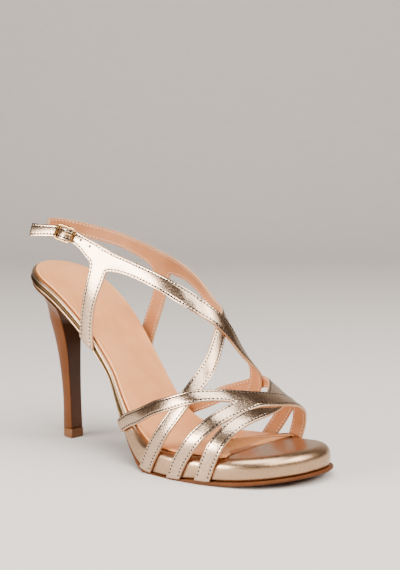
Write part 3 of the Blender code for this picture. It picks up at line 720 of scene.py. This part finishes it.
innerQuarter = {
    "leg": [
        (7.62, 74, 13, 0.3), (7.36, 83, 11.2, 0.3), (7.28, 96, 11.2, 0.3), (7.24, 114.5, 11.2, 0.3),
        (7.2, 130, 11.2, 0.3), (7.12, 149, 11.5, 0.3),
    ],
    "frontArm": [
        (7.85, 74.8, 12.5, 0.5), (7.29, 63.2, 9.8, 0.55), (6.79, 53.2, 7.6, 0.4),
        (6.36, 47.7, 7.4, 0.3), (6.0, 44.2, 7.4, 0.3), (5.67, 41.5, 7.6, 0.3), (5.2, 29, 8, 0.3),
        (4.85, 13, 8, 0.3), (4.5, 1, 8, 0.3), (4.0, -9, 7.5, 0.3), (3.68, -20.5, 7.8, 0.3),
        (3.47, -33.5, 8.3, 0.3), (3.52, -54, 8.5, 0.3), (3.8, -74, 8.5, 0.3), (4.07, -88, 8.5, 0.3),
        (4.28, -116, 8.5, 0.3), (4.34, -149, 8, 0.3),
    ],
    "rearArm": [
        (7.85, 74.8, 12.5, 0.5), (8.29, 80.5, 10.4, 0.45), (9.03, 96.5, 8.3, 0.4),
        (9.53, 117.5, 8.3, 0.4), (10.1, 139, 8.2, 0.4), (10.48, 160, 8, 0.2), (10.61, 180, 8, -0.8),
        (10.5, 200, 8, -2.4), (10.12, 222, 8, -2.4), (9.8, 240, 7.6, -0.7, -0.3),
        (9.55, 254, 6.2, 0.3, -0.6), (9.36, 264.5, 6.0, 0.3, -0.6),
    ],
    "corners": [(7.88, 68.4), (7.91, 81.9), (7.28, 68.5)],
}
overBand = {
    "rear": [
        (2.02, -18, 12, 1.4), (2.32, -25, 9, 1.3), (2.73, -41, 7.2, 1.2), (3.29, -54, 7.2, 1.5),
        (3.78, -63.5, 7.3, 1.5), (4.28, -73.5, 7.6, 1.3), (4.84, -84, 8, 0.5), (5.14, -98, 8.2, 0.3),
        (5.44, -128, 8, 0.3), (5.5, -149, 7.6, 0.3),
    ],
    "front": [
        (2.02, -18, 12, 1.4), (1.83, -6, 11.5, 1.5), (1.7, 8, 11, 1.5), (1.68, 26, 10, 1.2),
        (1.75, 44, 9.3, 0.6), (1.9, 62, 9, 0.3), (2.08, 78, 8.8, 0.3), (2.2, 90, 8.8, 0.3),
        (2.35, 114, 8.8, 0.3), (2.45, 149, 9, 0.3),
    ],
    "fork": [
        (1.9, -14, 9, 1.2), (1.95, -26, 9, 1.1), (2.0, -37, 8.2, 1.0), (2.25, -55, 8, 0.8),
        (2.5, -70, 8, 0.6), (2.8, -85, 8.2, 0.4), (3.1, -103, 8.2, 0.3), (3.32, -125, 8.2, 0.3),
        (3.42, -149, 8.2, 0.3),
    ],
}
underBand = {
    "rear": [
        (1.9, 16, 12.5, 0.3), (2.1, 24, 11, 0.4), (2.35, 31, 9, 0.6), (2.75, 43, 7.5, 0.9),
        (3.29, 54, 7.3, 1.4), (3.78, 63.5, 7.3, 1.5), (4.28, 73.5, 7.6, 1.3), (4.84, 84, 8, 0.5),
        (5.12, 98, 8, 0.3), (5.42, 128, 8, 0.3), (5.5, 149, 8, 0.3),
    ],
    "front": [
        (1.9, 16, 12.5, 0.3), (1.68, 4, 12, 0.3), (1.55, -12, 10.5, 0.3), (1.56, -29, 9, 0.3),
        (1.71, -48, 8.2, 0.3), (1.92, -68, 8.2, 0.3), (2.12, -86, 8.5, 0.3), (2.27, -103, 8.5, 0.3),
        (2.4, -125, 8.5, 0.3), (2.5, -149, 8.5, 0.3),
    ],
    "fork": [
        (1.9, 14, 9, 0.5), (1.95, 26, 9, 0.5), (2.0, 37, 8.2, 0.5), (2.25, 55, 8, 0.4),
        (2.5, 70, 8, 0.3), (2.8, 85, 8.2, 0.3), (3.1, 103, 8.2, 0.3), (3.32, 125, 8.2, 0.3),
        (3.42, 149, 8.2, 0.3),
    ],
}


def traceStrap(rows):
    # even rows along a strap, eased where it bends on the foot
    step = strapCut["step"]
    rows = np.array([(tuple(row) + (0.0,))[:5] for row in rows], float)
    d = distances(lastPoint(rows[:, 0], rows[:, 1]))
    count = max(strapCut["fewest"], int(round(d[-1] / step)))
    path = easeRow(d, rows, np.linspace(0, d[-1], count + 1))
    p = lastPoint(path[:, 0], path[:, 1])
    for _ in range(int(strapCut["ease"] * (strapCut["easeStep"] / step) ** 2)):
        p[1:-1] = (p[:-2] + 2 * p[1:-1] + p[2:]) / 4
    path[:, 0], path[:, 1] = nearestOn(path[:, 0], path[:, 1], p)
    return path


def strapEdge(path, side):
    # one border of a strap, or its middle line, and the way the leather faces there
    u, th, width, lift, lean = path.T
    p = lastPoint(u, th)
    n = lastAxes(u, th)[2]
    along = np.gradient(p + n * lift[:, None], axis=0)
    along = unit(along - n * (along * n).sum(1, keepdims=True))
    across = np.cross(n, along)
    u, th = nearestOn(u, th, p + across * (side * width / 2)[:, None])
    n = lastAxes(u, th)[2]
    face = unit(n - across * (2 * lean / width)[:, None])
    return lastPoint(u, th) + n * (lift + side * lean)[:, None], face


def endAtSole(line):
    # the end of a strap is cut along the joint of the footbed and the outsole
    p = line[-1]
    s = lineS[np.argmin(np.hypot(lineX - p[0], lineZ - p[2]))]
    n = bentTo(s, 0, 1) - bentTo(s, 0, 0)
    way = unit(p - line[-2])
    short = (bentTo(s, p[1], depthOf(1)(s)) - p) @ n
    line[-1] = p + way * np.clip(short / (way @ n), -strapCut["endShift"], strapCut["endShift"])


def traceArms(form):
    # the arms of a fork, in order round the point where they meet
    arms = []
    for key, rows in form.items():
        if key == "corners":
            continue
        path = traceStrap(rows)
        sides = {k: strapEdge(path, k) for k in (-1, 0, 1)}
        if key != "rearArm":
            for line, _ in sides.values():
                endAtSole(line)
        arms.append({"key": key, "path": path, "sides": sides})
    hub = np.mean([arm["sides"][0][0][0] for arm in arms], axis=0)
    hubFace = unit(np.mean([arm["sides"][0][1][0] for arm in arms], axis=0))
    e1 = unit(np.cross(hubFace, (0.3, 0.2, 0.93)))  # any way that isn't close to the face's own
    e2 = np.cross(hubFace, e1)
    for arm in arms:
        away = arm["sides"][0][0][3] - hub
        arm["angle"] = math.atan2(away @ e2, away @ e1)
    arms.sort(key=lambda arm: arm["angle"])
    return arms, hub, hubFace


def meetArms(arms, marks):
    # where the border of one arm meets the next one's, and the first row of each arm past those corners
    rows = strapCut["hubRows"]
    notches = []
    for k, arm in enumerate(arms):
        nextArm = arms[(k + 1) % len(arms)]
        a = arm["sides"][1][0][:rows]
        b = nextArm["sides"][-1][0][:rows]
        far = np.linalg.norm(a[:, None] - b[None], axis=2)
        i, j = np.unravel_index(np.argmin(far), far.shape)
        face = unit(arm["sides"][1][1][i] + nextArm["sides"][-1][1][j])
        spot = (a[i] + b[j]) / 2
        if marks:
            spot = min(marks, key=lambda m: np.linalg.norm(m - spot))
        notches.append([spot, face])
    for k, arm in enumerate(arms):
        right, mid, left = [arm["sides"][side][0] for side in (-1, 0, 1)]
        near = np.linalg.norm(mid - (notches[k][0] + notches[k - 1][0]) / 2, axis=1)
        arm["mid"] = mid[np.argmin(near)]
        along = unit(np.gradient(mid, axis=0))
        pairs = ((left, notches[k][0]), (right, notches[k - 1][0]), (mid, arm["mid"]))
        ahead = np.min([((line - spot) * along).sum(1) for line, spot in pairs], axis=0)
        arm["start"] = int(np.argmax(ahead > strapCut["step"] * strapCut["hubClear"]))
    if marks:
        # a subdivided border passes inside its corner, so the corner stands out by as much
        push = strapCut["cornerPush"]
        for k, arm in enumerate(arms):
            nextArm = arms[(k + 1) % len(arms)]
            beside = arm["sides"][1][0][arm["start"]] + nextArm["sides"][-1][0][nextArm["start"]]
            notches[k][0] = (1 + push) * notches[k][0] - push / 2 * beside
    return notches


def strapMesh(arms, notches, hub):
    bm = bmesh.new()
    fromEdge = bm.verts.layers.float.new("fromEdge")
    middle = bm.verts.new(inFrame(hub))
    corner = [bm.verts.new(inFrame(spot)) for spot, _ in notches]
    mids = [bm.verts.new(inFrame(arm["mid"])) for arm in arms]
    middle[fromEdge] = strapCut["hubWide"]
    for k, v in enumerate(mids):
        v[fromEdge] = np.linalg.norm(notches[k][0] - notches[k - 1][0]) / 2
    for k in range(len(arms)):
        bm.faces.new((middle, mids[k], corner[k], mids[(k + 1) % len(arms)]))
    for k, arm in enumerate(arms):
        right, mid, left = [arm["sides"][side][0] for side in (-1, 0, 1)]
        ring = [corner[k - 1], mids[k], corner[k]]
        edges = [bm.edges.get((ring[0], ring[1])), bm.edges.get((ring[1], ring[2]))]
        crown = arm["sides"][0][1] * strapCut["crown"]
        rows = [(right[i], mid[i] + crown[i], left[i]) for i in range(arm["start"], len(mid))]
        rings = pullRows(bm, ring, edges, rows)
        for row, width in zip(rings[1:], arm["path"][arm["start"]:, 2]):
            row[1][fromEdge] = width / 2
    return bm


def bSpline(chain, fine=16):
    # the curve that a subdivided border settles on
    c = np.concatenate([[2 * chain[0] - chain[1]], chain, [2 * chain[-1] - chain[-2]]])
    t = np.linspace(0, 1, fine, endpoint=False)[:, None]
    share = ((1 - t) ** 3, 3 * t ** 3 - 6 * t ** 2 + 4, -3 * t ** 3 + 3 * t ** 2 + 3 * t + 1, t ** 3)
    out = [sum(w * p for w, p in zip(share, c[k:k + 4])) / 6 for k in range(len(c) - 3)]
    return np.concatenate(out + [c[-2:-1]])


def surfaceOf(piece):
    bpy.context.view_layer.update()
    return BVHTree.FromObject(piece, bpy.context.evaluated_depsgraph_get())


def landOn(surface, p, face, above=3.0, below=4.0):
    # the point of the finished leather under p, and the way it faces there
    hit, normal, _, _ = surface.ray_cast(inFrame(p + face * above), Vector(-face), (above + below) * mm)
    if hit is None:
        return inFrame(p), face
    n = np.array(normal)
    return hit, n if n @ face > 0 else -n


def stitchRow(bm, surface, chain, normals, trim, thick):
    line = bSpline(chain)
    face = unit(bSpline(normals))
    d = distances(line)
    half = seam["long"] / 2

    def read(data, at):
        return np.array([np.interp(at, d, column) for column in data.T])

    for k in range(int((d[-1] - trim[0] - trim[1]) / seam["pitch"])):
        at = trim[0] + (k + 0.5) * seam["pitch"]
        way = read(line, at + half) - read(line, at - half)
        spot, up = landOn(surface, read(line, at), read(face, at))
        along = unit(way - up * (way @ up))
        side = np.cross(up, along)
        size = np.stack([along * half, side * thick[0], up * thick[1]], -1) * mm
        m = Matrix(size.tolist()).to_4x4()
        m.translation = spot
        bmesh.ops.create_icosphere(bm, subdivisions=1, radius=1.0, matrix=m)


def seamLine(arm, side):
    edge, face = arm["sides"][side]
    line = edge + unit(arm["sides"][0][0] - edge) * seam["inset"]
    return line[arm["start"]:], face[arm["start"]:]


def sewStrap(name, piece, arms, notches, hub, trims):
    surface = surfaceOf(piece)
    outside = bmesh.new()
    inside = bmesh.new()
    for k, arm in enumerate(arms):
        # in along one arm, round the corner and out along the next arm
        nextArm = arms[(k + 1) % len(arms)]
        lineIn, faceIn = seamLine(arm, 1)
        lineOut, faceOut = seamLine(nextArm, -1)
        spot, face = notches[k]
        turn = spot + unit(hub - spot) * seam["inset"]
        chain = np.concatenate([lineIn[::-1], [turn], lineOut])
        faces = np.concatenate([faceIn[::-1], [face], faceOut])
        trim = [trims.get(a["key"], seam["trim"]) for a in (arm, nextArm)]
        stitchRow(outside, surface, chain + faces * strapCut["wall"], faces, trim, seam["topThread"])
        stitchRow(inside, surface, chain, -faces, trim, seam["liningThread"])
    makePiece(name + "_stitches", outside, [finish["thread"]])
    makePiece(name + "_lining_stitches", inside, [finish["palethread"]])


def makeStrap(name, form, trims):
    arms, hub, hubFace = traceArms(form)
    marks = [offLast(*spot, strapCut["cornerLift"]) for spot in form.get("corners", [])]
    notches = meetArms(arms, marks)
    looks = [finish["strapFoil"], finish["lining"], finish["edge"]]
    piece = makePiece(name, strapMesh(arms, notches, hub), looks)
    # normals have to face away from the foot
    mesh = piece.data
    if np.array(mesh.polygons[0].normal) @ hubFace < 0:
        mesh.flip_normals()
    addModifier(piece, "SUBSURF", levels=2, render_levels=2, boundary_smooth="PRESERVE_CORNERS")
    addModifier(piece, "SOLIDIFY", thickness=strapCut["wall"] * mm, offset=1.0, material_offset=1,
                material_offset_rim=2, use_even_offset=True)
    addModifier(piece, "BEVEL", width=strapCut["bevel"] * mm, segments=2, limit_method="ANGLE",
                angle_limit=math.radians(strapCut["bevelFrom"]), harden_normals=False)
    sewStrap(name, piece, arms, notches, hub, trims)
    print(name, "arms:", [(arm["key"], arm["start"], len(arm["path"])) for arm in arms])
    return piece


# the stitches of the rear arms stop short of the buckle
outer = makeStrap("outer_quarter", outerQuarter, {"rearArm": 1.5})
makeStrap("inner_quarter", innerQuarter, {"rearArm": 4.0})
makeStrap("over_band_straps", overBand, {})
makeStrap("under_band_straps", underBand, {})
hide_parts("upper")

# spare buckle holes of the outer strap, dark plugs with the shade inside a hole painted on: section, girth
# angle
holeForm = {
    "spots": [(8.767, -80.14), (8.445, -75.92)],
    "radius": 0.8, "deep": 0.6, "sunk": 0.25, "lift": 2.0,
}


def makeHoles():
    surface = surfaceOf(outer)
    radius = holeForm["radius"] * mm
    bm = bmesh.new()
    for at in holeForm["spots"]:
        spot, n = landOn(surface, offLast(*at, holeForm["lift"]), lastAxes(*at)[2])
        turn = Vector(n).to_track_quat("Z", "X").to_matrix().to_4x4()
        turn.translation = spot - Vector(n) * (holeForm["sunk"] * mm)
        bmesh.ops.create_cone(bm, cap_ends=True, segments=20, radius1=radius, radius2=radius,
                              depth=holeForm["deep"] * mm, matrix=turn)
    makePiece("strap_holes", bm, [finish["hole"]], smooth=False)


makeHoles()
print("strap holes:", len(holeForm["spots"]))


# Buckle

buckleForm = {
    # the two end bars on the foot: section, girth angle, lift
    "front": (9.0, -84.15, 3.7), "rear": (9.45, -97.95, 5.1), "lean": 22.0,
    "long": 11.2, "wide": 8.5, "corner": 1.8, "cornerSteps": 9,
    "wire": 0.65, "bar": 0.5, "prong": 0.55, "sides": 14,  # radii, and points round them
    # the middle bar hangs below the frame: distance in from the frame's side, share of the drop
    "barDrop": 1.8, "barBend": [(-0.1, 0.0), (0.0, 0.45), (0.25, 0.85), (0.8, 1.0)],
    "prongGap": 0.1, "prongRise": 0.9, "prongPast": 0.4,
    "prongBow": 0.4, "prongTaper": 0.35, "prongSteps": 14,
}


def buckleAxes():
    ends = (buckleForm["front"], buckleForm["rear"])
    bars = [offLast(*at) for at in ends]
    along = unit(bars[1] - bars[0])
    n = sum(lastAxes(u, th)[2] for u, th, _ in ends)
    n = unit(n - along * (n @ along))
    side = np.cross(n, along)
    lean = math.radians(buckleForm["lean"])
    across = side * math.cos(lean) + n * math.sin(lean)
    return (bars[0] + bars[1]) / 2, along, across, n * math.cos(lean) - side * math.sin(lean)


def wireRings(path, radii, normal, closed=False):
    path = np.asarray(path, float)
    tan = np.roll(path, -1, axis=0) - np.roll(path, 1, axis=0)
    if not closed:
        tan[0] = path[1] - path[0]
        tan[-1] = path[-1] - path[-2]
    tan = unit(tan)
    side = unit(np.cross(normal, tan))
    up = np.cross(tan, side)
    a = np.linspace(0, 2 * np.pi, buckleForm["sides"], endpoint=False)[:, None]
    return [p + r * (s * np.cos(a) + q * np.sin(a)) for p, r, s, q in zip(path, radii, side, up)]


def makeFrame():
    base, along, across, normal = buckleAxes()
    f = buckleForm
    hx = f["long"] / 2 - f["corner"]
    hy = f["wide"] / 2 - f["corner"]
    path = []
    for k, (sx, sy) in enumerate(((1, 1), (-1, 1), (-1, -1), (1, -1))):
        for a in np.radians(np.linspace(90 * k, 90 * k + 90, f["cornerSteps"])):
            x = sx * hx + f["corner"] * math.cos(a)
            y = sy * hy + f["corner"] * math.sin(a)
            path.append(base + along * x + across * y)
    bm = bmesh.new()
    rings = drawOut(bm, wireRings(path, [f["wire"]] * len(path), normal, closed=True))
    loops = []
    for ring in (rings[0], rings[-1]):
        loops += [bm.edges.get((a, b)) for a, b in zip(ring, ring[1:] + ring[:1])]
    bmesh.ops.bridge_loops(bm, edges=loops)
    # the strap runs over the middle bar and under both ends
    bar = [(f["wide"] / 2 - inside, drop) for inside, drop in f["barBend"]] + [(0.0, 1.0)]
    bar = bar + [(-y, drop) for y, drop in bar[-2::-1]]
    bar = [base + across * y - normal * f["barDrop"] * drop for y, drop in bar]
    capEnds(bm, drawOut(bm, wireRings(bar, [f["bar"]] * len(bar), along)))
    makePiece("buckle_wire", bm, [finish["buckle"]], ["buckle_frame"])


def makeProng():
    base, along, _, normal = buckleAxes()
    f = buckleForm
    lift = f["wire"] + f["prong"] + f["prongGap"]
    t = np.linspace(0, 1, f["prongSteps"])[:, None]
    start = base + normal * (lift + f["prongRise"])
    end = base - along * (f["long"] / 2 + f["prongPast"]) + normal * lift
    path = start + (end - start) * t + normal * (f["prongBow"] * np.sin(np.pi * t) * (1 - t))
    radii = f["prong"] * (1 - f["prongTaper"] * t[:, 0] ** 3)
    bm = bmesh.new()
    capEnds(bm, drawOut(bm, wireRings(path, radii, normal)))
    makePiece("buckle_tongue", bm, [finish["buckle"]], ["buckle_prong"])


makeFrame()
makeProng()
print("buckle: frame and tongue")


# Camera, floor and light

view = {
    "azimuth": 40.4542, "elevation": 6.8346, "target": (0.11, 0.0, 0.05),
    "focal": 1507.93, "scale": 1761.1331, "high": 570,  # pixels, scale in pixels a metre at the target
    "slide": (-0.0131, -0.0493), "sensor": 36.0, "near": 0.05,
}
turn = math.radians(view["azimuth"])
tilt = math.radians(view["elevation"])
rightWay = Vector((math.cos(turn), math.sin(turn), 0))
awayWay = Vector((-math.sin(turn), math.cos(turn), 0))
backWay = Vector((math.sin(turn) * math.cos(tilt), -math.cos(turn) * math.cos(tilt), math.sin(tilt)))
upWay = backWay.cross(rightWay)
target = Vector(view["target"]) + Vector(lastForm["move"]) * mm
cameraData = bpy.data.cameras.new("camera")
cameraData.lens = view["focal"] * view["sensor"] / view["high"]
cameraData.sensor_width = view["sensor"]
cameraData.clip_start = view["near"]
camera = bpy.data.objects.new("camera", cameraData)
camera.matrix_world = Matrix((rightWay, upWay, backWay)).transposed().to_4x4()
slide = rightWay * view["slide"][0] + upWay * view["slide"][1]
camera.location = target + backWay * (view["focal"] / view["scale"]) - slide
bpy.context.scene.collection.objects.link(camera)
bpy.context.scene.camera = camera

# metres: a flat floor that bends up into a wall behind the shoe
stageForm = {
    "front": -1.6, "flat": 1.1, "bend": 0.7, "high": 2.6, "half": 2.2, "bendSteps": 10, "fibreMm": 14.0,
}


def makeFloor():
    flat, bend, half = [stageForm[key] for key in ("flat", "bend", "half")]
    profile = [(stageForm["front"], 0.0), (flat, 0.0)]
    for t in np.radians(np.linspace(8, 82, stageForm["bendSteps"])):
        profile.append((flat + bend * math.sin(t), bend - bend * math.cos(t)))
    profile += [(flat + bend, bend), (flat + bend, stageForm["high"])]
    rows = []
    for d, z in profile:
        row = [awayWay * d + rightWay * s + Vector((0, 0, z)) for s in (-half, 0.0, half)]
        rows.append([np.array(p) * 1000 - np.array(lastForm["move"]) for p in row])
    bm = bmesh.new()
    drawOut(bm, rows, closed=False)
    paper, tree, shader, place = newMaterial("palePaper", "#dcd7d1", 0.0, 0.85)  # matt seamless paper
    fibre = addNode(tree, "ShaderNodeTexNoise", Vector=place, Scale=perMetre(stageForm["fibreMm"]),
                    Detail=3.0)
    shadeBetween(tree, shader, fibre.outputs["Fac"], ("#dad4ce", "#ded9d3"), low=0.2, high=0.8)
    floor = meshObject("floor_sweep", bm, [paper])


makeFloor()

# place to the right, up and to the camera in metres, width and height, watts, colour
lights = {
    "key": ((-0.94, 0.2, 0.55), (0.68, 0.42), 25.0, "#fffaf4"),
    "front": ((0.75, 0.8, 0.75), (1.5, 0.7), 25.0, "#fff8f2"),
    "side": ((1.1, 0.8, 0.3), (0.8, 0.8), 10.0, "#fff8f2"),
    "top": ((-0.05, 1.2, 0.4), (1.0, 0.9), 23.0, "#ffffff"),
}
ambient = {"colour": "#8a6a54", "strength": 0.32}


def softbox(name, place, size, power, colour):
    data = bpy.data.lights.new(name, "AREA")
    data.shape = "RECTANGLE"
    data.size, data.size_y = size
    data.energy = power
    data.color = hexColour(colour)[:3]
    lamp = bpy.data.objects.new(name, data)
    right, up, near = place
    spot = target + rightWay * right + Vector((0, 0, up)) - awayWay * near
    lamp.location = spot
    lamp.rotation_euler = (target - spot).to_track_quat("-Z", "Y").to_euler()
    bpy.context.scene.collection.objects.link(lamp)


for name, look in lights.items():
    softbox(name, *look)
world = bpy.data.worlds.new("studio")
world.use_nodes = True
background = world.node_tree.nodes["Background"]
background.inputs["Color"].default_value = hexColour(ambient["colour"])
background.inputs["Strength"].default_value = ambient["strength"]
bpy.context.scene.world = world
print("stage, light and camera")
